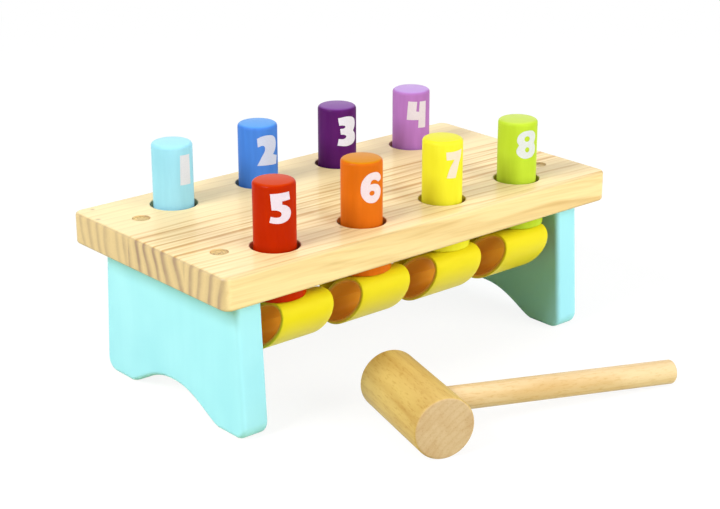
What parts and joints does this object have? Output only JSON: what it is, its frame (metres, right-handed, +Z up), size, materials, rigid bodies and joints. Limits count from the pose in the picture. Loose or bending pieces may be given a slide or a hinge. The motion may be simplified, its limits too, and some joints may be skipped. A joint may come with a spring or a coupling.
{
  "type": "peg pounding bench",
  "caption": "Wooden pounding bench: coloured numbered pegs stand in a board on two arched legs, sprung back up by plastic loops under it, with a round mallet beside it.",
  "frame": {"origin": "on the table, at the middle of the footprint that the bench and its mallet take up together", "axes": "+X along the bench towards pegs 4 and 8, -Y towards its front where the mallet lies, +Z up"},
  "size_m": [0.3036, 0.2554, 0.1428],
  "materials": {
    "pine_board": "clear-lacquered pale pine, satin",
    "leg_paint": "satin light blue paint on wood",
    "plug_wood": "lacquered beech end plug, satin",
    "mallet_wood": "clear-lacquered turned hardwood, satin",
    "spring_plastic": "springy yellow plastic strip, semi-gloss",
    "screw_steel": "zinc-plated steel",
    "peg_paint_1": "light blue stain and lacquer on turned wood, satin, with a printed white numeral",
    "peg_paint_2": "blue stain and lacquer on turned wood, satin, with a printed white numeral",
    "peg_paint_3": "dark purple stain and lacquer on turned wood, satin, with a printed white numeral",
    "peg_paint_4": "lilac stain and lacquer on turned wood, satin, with a printed white numeral",
    "peg_paint_5": "red stain and lacquer on turned wood, satin, with a printed white numeral",
    "peg_paint_6": "orange stain and lacquer on turned wood, satin, with a printed white numeral",
    "peg_paint_7": "yellow stain and lacquer on turned wood, satin, with a printed white numeral",
    "peg_paint_8": "lime green stain and lacquer on turned wood, satin, with a printed white numeral"
  },
  "bodies": {
    "bench": {"top_board": "pine_board", "left_leg": "leg_paint", "right_leg": "leg_paint", "leg_screws": "screw_steel", "screw_plugs": "plug_wood", "spring_screws": "screw_steel", "spring_1": "spring_plastic", "spring_2": "spring_plastic", "spring_3": "spring_plastic", "spring_4": "spring_plastic", "spring_5": "spring_plastic", "spring_6": "spring_plastic", "spring_7": "spring_plastic", "spring_8": "spring_plastic"},
    "peg_1": {"peg_1": "peg_paint_1"},
    "peg_2": {"peg_2": "peg_paint_2"},
    "peg_3": {"peg_3": "peg_paint_3"},
    "peg_4": {"peg_4": "peg_paint_4"},
    "peg_5": {"peg_5": "peg_paint_5"},
    "peg_6": {"peg_6": "peg_paint_6"},
    "peg_7": {"peg_7": "peg_paint_7"},
    "peg_8": {"peg_8": "peg_paint_8"},
    "mallet": {"mallet_head": "mallet_wood", "mallet_handle": "mallet_wood"}
  },
  "joints": [
    {"name": "peg_1_press", "type": "slide", "parent": "bench", "child": "peg_1", "axis": [0, 0, 1], "range_m": [-0.03, 0], "stiffness_N_per_m": 400, "springref_m": 0.004, "deforming": ["spring_1"]},
    {"name": "peg_2_press", "type": "slide", "parent": "bench", "child": "peg_2", "axis": [0, 0, 1], "range_m": [-0.03, 0], "stiffness_N_per_m": 400, "springref_m": 0.004, "deforming": ["spring_2"]},
    {"name": "peg_3_press", "type": "slide", "parent": "bench", "child": "peg_3", "axis": [0, 0, 1], "range_m": [-0.03, 0], "stiffness_N_per_m": 400, "springref_m": 0.004, "deforming": ["spring_3"]},
    {"name": "peg_4_press", "type": "slide", "parent": "bench", "child": "peg_4", "axis": [0, 0, 1], "range_m": [-0.03, 0], "stiffness_N_per_m": 400, "springref_m": 0.004, "deforming": ["spring_4"]},
    {"name": "peg_5_press", "type": "slide", "parent": "bench", "child": "peg_5", "axis": [0, 0, 1], "range_m": [-0.03, 0], "stiffness_N_per_m": 400, "springref_m": 0.004, "deforming": ["spring_5"]},
    {"name": "peg_6_press", "type": "slide", "parent": "bench", "child": "peg_6", "axis": [0, 0, 1], "range_m": [-0.03, 0], "stiffness_N_per_m": 400, "springref_m": 0.004, "deforming": ["spring_6"]},
    {"name": "peg_7_press", "type": "slide", "parent": "bench", "child": "peg_7", "axis": [0, 0, 1], "range_m": [-0.03, 0], "stiffness_N_per_m": 400, "springref_m": 0.004, "deforming": ["spring_7"]},
    {"name": "peg_8_press", "type": "slide", "parent": "bench", "child": "peg_8", "axis": [0, 0, 1], "range_m": [-0.03, 0], "stiffness_N_per_m": 400, "springref_m": 0.004, "deforming": ["spring_8"]},
    {"name": "mallet_lift", "type": "slide", "parent": "bench", "child": "mallet", "axis": [0, 0, 1], "range_m": [0, 0.15]}
  ]
}
